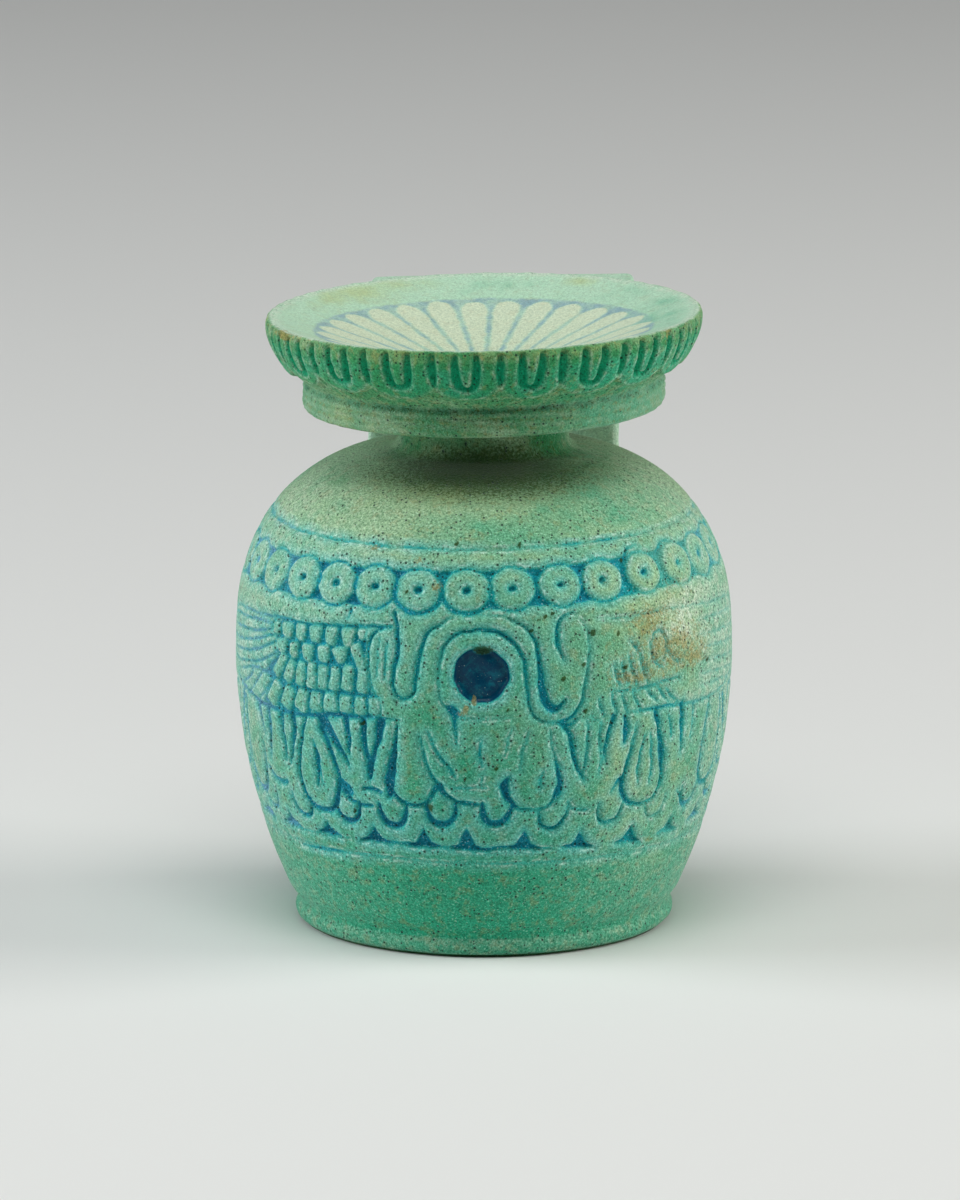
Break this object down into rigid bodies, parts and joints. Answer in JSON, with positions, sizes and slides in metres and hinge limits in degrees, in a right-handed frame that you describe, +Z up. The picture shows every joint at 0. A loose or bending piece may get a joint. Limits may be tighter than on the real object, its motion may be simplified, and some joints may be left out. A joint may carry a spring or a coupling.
{
  "type": "aryballos",
  "caption": "Small footed faience oil flask with a broad dished mouth, a strap handle behind it and bands of carved ornament; holds and pours scented oil.",
  "frame": {"origin": "centre of the foot's underside, on the axis of the body", "axes": "+Z up along the body's axis; the winged disc on the front faces -Y; the strap handle stands behind at +Y"},
  "size_m": [0.0532, 0.0532, 0.0665],
  "materials": {
    "faience": "matte weathered green-blue glaze, darker blue where it pooled in the carving"
  },
  "bodies": {
    "root": {"aryballos": "faience"}
  },
  "joints": []
}
